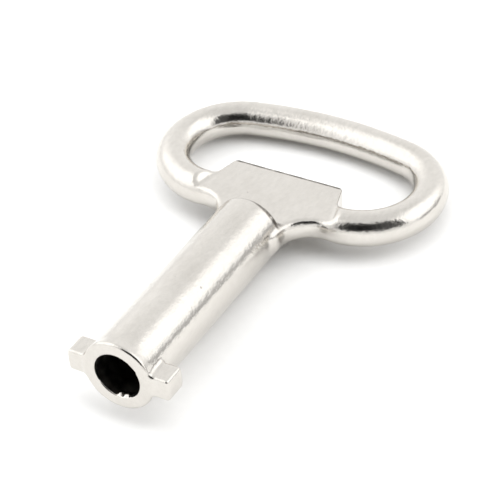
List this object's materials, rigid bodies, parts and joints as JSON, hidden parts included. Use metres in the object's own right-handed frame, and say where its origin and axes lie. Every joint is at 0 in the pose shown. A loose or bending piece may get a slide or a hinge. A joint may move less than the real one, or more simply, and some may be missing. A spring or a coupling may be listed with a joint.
{
  "type": "double-bit cabinet key",
  "caption": "Cast metal service key with a tubular shank, a bit on each side of its blind bore and a closed oval finger bow.",
  "frame": {"origin": "centre of the bore's mouth, on the shank's axis", "axes": "+Y along the shank from the bit end to the bow, +X across the bow, +Z through the thickness of the flat web; the key lies flat"},
  "size_m": [0.0446, 0.0624, 0.0104],
  "materials": {
    "nickel_plate": "bright nickel plate over a zinc die casting, slightly wavy"
  },
  "bodies": {
    "root": {"barrel": "nickel_plate", "bit_left": "nickel_plate", "bit_right": "nickel_plate", "web": "nickel_plate", "neck_left": "nickel_plate", "neck_right": "nickel_plate", "bow_end_left": "nickel_plate", "bow_end_right": "nickel_plate", "bow_bar": "nickel_plate"}
  },
  "joints": []
}
